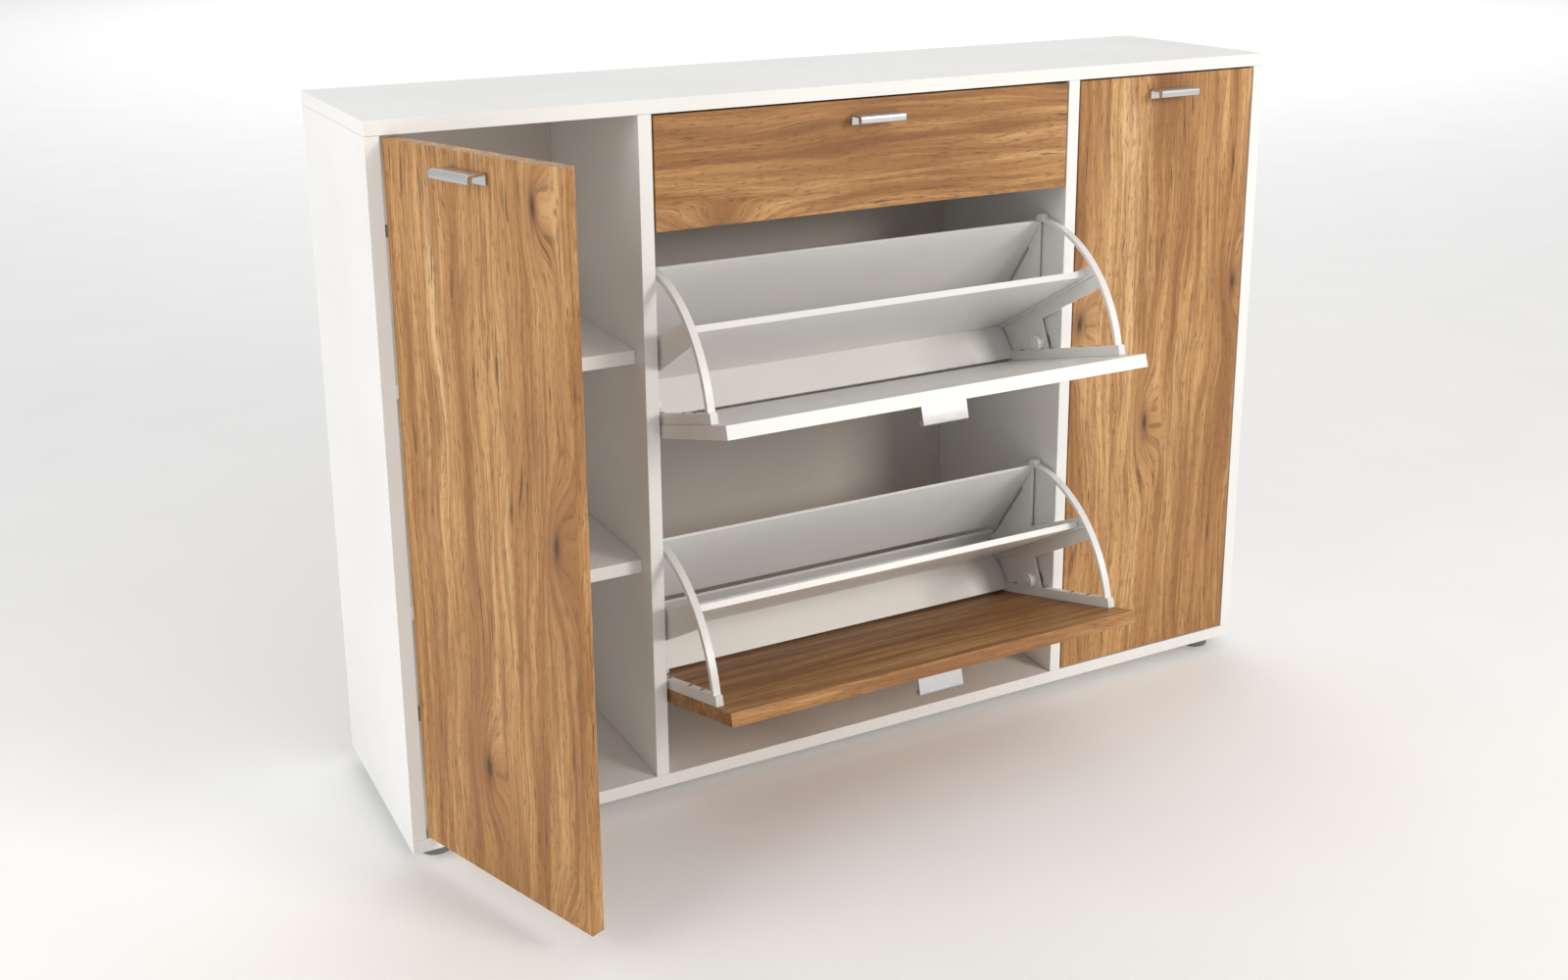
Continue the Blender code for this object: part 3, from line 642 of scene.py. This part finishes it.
# %% Hinge screws
CUP_GAP, PLATE_GAP = 48 * MM, 32 * MM
CUP_IN, CUP_BACK = 23 * MM, 19.5 * MM
PLATE_IN, PLATE_BACK = 1.0 * MM, 54 * MM
ARM_IN, ARM_BACKS = 9 * MM, (50 * MM, 72 * MM)
hinge_levels = {level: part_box(f"left_hinge_arm_{level}") for level in ("lower", "upper")}
mid_height = {level: (low.z + high.z) / 2 for level, (low, high) in hinge_levels.items()}
for side, sign, opened in (("left", 1, -DOOR_OPEN), ("right", -1, 0.0)):
    pivot = pivot_of[f"{side}_door"]
    swing = Matrix.Rotation(opened, 3, "Z")
    cup_spots = []
    arm_spots = []
    for level, height in mid_height.items():
        at_height = Vector((pivot.x, pivot.y, height))
        for up in (-CUP_GAP / 2, CUP_GAP / 2):
            closed = Vector((sign * CUP_IN, CUP_BACK, up))
            cup_spots.append((at_height + swing @ closed, swing @ Vector((0, 1, 0))))
        plate = [Vector((sign * PLATE_IN, PLATE_BACK, up)) for up in (-PLATE_GAP / 2, PLATE_GAP / 2)]
        arm = [Vector((sign * ARM_IN, back, 0)) for back in ARM_BACKS]
        arm_spots += [(at_height + place, Vector((sign, 0, 0))) for place in plate + arm]
    heads_at(f"{side}_cup_screws", cup_spots, screw_head, nickel, f"{side}_door")
    heads_at(f"{side}_arm_screws", arm_spots, screw_head, nickel, "carcass")

# %% [markdown]
# ## Screws and caps of the flaps
# Each bracket has a bar that lies on the panel, held by four screws, and a round boss at the
# pivot with a plastic cap. The screws are measured from the pivot.

# %% Flap bracket screws and pivot caps
BAR_IN, BAR_FACE = 9 * MM, -10 * MM
BAR_HEIGHTS = (-45 * MM, 30 * MM, 102 * MM, 141 * MM)
cap_head = object_from("cap_head", turned([
    (0, 2.2 * MM), (4.5 * MM, 2.0 * MM), (7.2 * MM, 1.2 * MM), (7.8 * MM, 0.2 * MM),
    (7.8 * MM, 0), (0, 0),
]))
tilt = Matrix.Rotation(FLAP_OPEN, 3, "X")
for level in ("upper", "lower"):
    pivot = pivot_of[f"{level}_flap"]
    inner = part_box(f"{level}_flap_right_bracket")[0].x
    bar_spots = []
    cap_spots = []
    for sign in (-1, 1):
        for height in BAR_HEIGHTS:
            closed = Vector((sign * (inner + BAR_IN), BAR_FACE, height))
            bar_spots.append((pivot + tilt @ closed, tilt @ Vector((0, 1, 0))))
        cap_spots.append((pivot + Vector((sign * (inner - SINK), 0, 0)), Vector((-sign, 0, 0))))
    flap = f"{level}_flap"
    heads_at(f"{flap}_bar_screws", bar_spots, screw_head, nickel, flap)
    heads_at(f"{flap}_pivot_caps", cap_spots, cap_head, abs_white, flap)

# %% [markdown]
# ## Pins and runner screws
# Four steel pins under each shelf carry it, and two screws with flatter heads hold each of
# the cabinet's runners to its divider, so that the drawer's runner passes over them.

# %% Shelf pins and runner screws
PIN_INSET, PIN_DROP, PIN_SINK = 40 * MM, 2.8 * MM, 0.3 * MM
RAIL_STEEL = 1.2 * MM
FRONT_SCREW, BACK_SCREW = 37 * MM, 51 * MM
pin_head = object_from("pin_head", turned([
    (0, 8 * MM), (2.1 * MM, 8 * MM), (2.5 * MM, 7.6 * MM), (2.5 * MM, 1.2 * MM),
    (4.2 * MM, 1.2 * MM), (4.5 * MM, 0.9 * MM), (4.5 * MM, 0), (0, 0),
]))
pin_spots = []
for node in [name for name in frame["nodes"] if "_shelf_" in name]:
    low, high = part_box(node)
    for x, facing in ((low.x, 1), (high.x, -1)):
        for y in (low.y + PIN_INSET, high.y - PIN_INSET):
            place = Vector((x - facing * PIN_SINK, y, low.z - PIN_DROP))
            pin_spots.append((place, Vector((facing, 0, 0))))
heads_at("shelf_pins", pin_spots, pin_head, nickel, "carcass")

runner_low, runner_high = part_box("right_cabinet_runner")
web_x = runner_high.x - RAIL_STEEL
runner_spots = []
for sign in (-1, 1):
    for y in (runner_low.y + FRONT_SCREW, runner_high.y - BACK_SCREW):
        place = Vector((sign * web_x, y, (runner_low.z + runner_high.z) / 2))
        runner_spots.append((place, Vector((-sign, 0, 0))))
flat_head = cross_head(3.2 * MM, 0.9 * MM)
heads_at("runner_screws", runner_spots, flat_head, nickel, "carcass")

# %% [markdown]
# ## Nails of the back panel
# The back is nailed on every 100 mm or so round its edge. A rectangle drawn by the node tree
# is divided into equal steps, and a nail head is set at each. A narrower rectangle made the
# same way has its uprights on the dividers.

# %% Nails
NAIL_INSET, NAIL_SPACING = 8 * MM, 0.1
nail_head = object_from("nail_head", turned([
    (0, 0.5 * MM), (1.6 * MM, 0.4 * MM), (2.0 * MM, 0.1 * MM), (2.0 * MM, -0.1 * MM), (0, -0.1 * MM),
], 12))


def nail_tree():
    """Tree that draws a rectangle and sets a nail head at each step round it."""
    tree = bpy.data.node_groups.new("nails_on_rectangle", "GeometryNodeTree")
    for name, kind in (
        ("Width", "NodeSocketFloat"), ("Height", "NodeSocketFloat"), ("Spacing", "NodeSocketFloat"),
        ("Centre", "NodeSocketVector"), ("Head", "NodeSocketObject"), ("Finish", "NodeSocketMaterial"),
    ):
        tree.interface.new_socket(name, in_out="INPUT", socket_type=kind)
    tree.interface.new_socket("Geometry", in_out="OUTPUT", socket_type="NodeSocketGeometry")
    given = add(tree, "NodeGroupInput")
    border = add(tree, "GeometryNodeCurvePrimitiveQuadrilateral", {
        "Width": given.outputs["Width"], "Height": given.outputs["Height"],
    })
    steps = add(
        tree, "GeometryNodeResampleCurve",
        {"Curve": border.outputs["Curve"], "Length": given.outputs["Spacing"]}, mode="LENGTH",
    )
    head = add(tree, "GeometryNodeObjectInfo", {"Object": given.outputs["Head"]})
    nails = add(tree, "GeometryNodeInstanceOnPoints", {
        "Points": steps.outputs["Curve"], "Instance": head.outputs["Geometry"],
    })
    stood = add(tree, "GeometryNodeTransform", {
        "Geometry": nails.outputs["Instances"], "Translation": given.outputs["Centre"],
        "Rotation": (-pi / 2, 0, 0),
    })
    real = add(tree, "GeometryNodeRealizeInstances", {"Geometry": stood.outputs["Geometry"]})
    painted = add(tree, "GeometryNodeSetMaterial", {
        "Geometry": real.outputs["Geometry"], "Material": given.outputs["Finish"],
    })
    add(tree, "NodeGroupOutput", {"Geometry": painted.outputs["Geometry"]})
    return tree


nails_on_rectangle = nail_tree()
back_low, back_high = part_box("back_panel")
middle = (back_low + back_high) / 2
height = back_high.z - back_low.z - 2 * NAIL_INSET
widths = {
    "back_panel_nails": back_high.x - back_low.x - 2 * NAIL_INSET,
    "divider_nails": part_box("right_divider")[0].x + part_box("right_divider")[1].x,
}
for name, width in widths.items():
    values = {
        "Width": width, "Height": height, "Spacing": NAIL_SPACING,
        "Centre": (0.0, back_high.y, middle.z), "Head": nail_head, "Finish": nickel,
    }
    source = object_from("border", bpy.data.meshes.new("border"))
    run_tree(name, source, nails_on_rectangle, values, "carcass")

for head in (screw_head, flat_head, cap_head, pin_head, nail_head):
    bpy.data.objects.remove(head)

# %% [markdown]
# ## Floor and light
# A pale floor and a white surround stand for a bright studio. A soft light in front and to
# the right draws short shadows to the left of the handles, and a wider one on the left keeps
# the cabinet's side bright. A very large one far behind the cabinet shines down on the floor,
# so that the floor runs out to nearly white. No lamp hangs over the cabinet itself.

# %% Floor and lights
REACH = 40.0
WORLD = 0.6
floor_mesh = bpy.data.meshes.new("floor")
corners = [(-REACH, -REACH, 0), (REACH, -REACH, 0), (REACH, REACH, 0), (-REACH, REACH, 0)]
floor_mesh.from_pydata(corners, [], [(0, 1, 2, 3)])
floor = object_from("floor", floor_mesh)
floor_mesh.materials.append(plain_finish(
    "studio_floor", "#fafafa", "#fcfcfc",
    grain_mm=3.0, depth_mm=0.01, strength=0.05, gloss=(0.7, 0.8),
))

world = bpy.data.worlds.new("studio")
world.use_nodes = True
world.node_tree.nodes["Background"].inputs["Color"].default_value = linear("#ffffff")
world.node_tree.nodes["Background"].inputs["Strength"].default_value = WORLD
bpy.context.scene.world = world
bpy.context.scene.view_settings.view_transform = "Standard"


def soft_light(name, place, target, size, power, tone):
    """Square area light of a size in metres and a power in watts, turned to a target."""
    data = bpy.data.lights.new(name, "AREA")
    data.size = size
    data.energy = power
    data.color = linear(tone)[:3]
    lamp = object_from(name, data)
    lamp.location = place
    lamp.rotation_euler = (Vector(target) - Vector(place)).to_track_quat("-Z", "Y").to_euler()


soft_light("key", (2.0, -3.8, 2.2), (0, 0, 0.5), size=1.2, power=88, tone="#fff7ee")
soft_light("left_fill", (-3.6, -0.6, 1.7), (-0.6, 0.1, 0.5), size=2.2, power=46, tone="#fffcf8")
soft_light("floor_wash", (6.0, 11.0, 5.5), (6.0, 11.0, 0), size=13.0, power=560, tone="#ffffff")
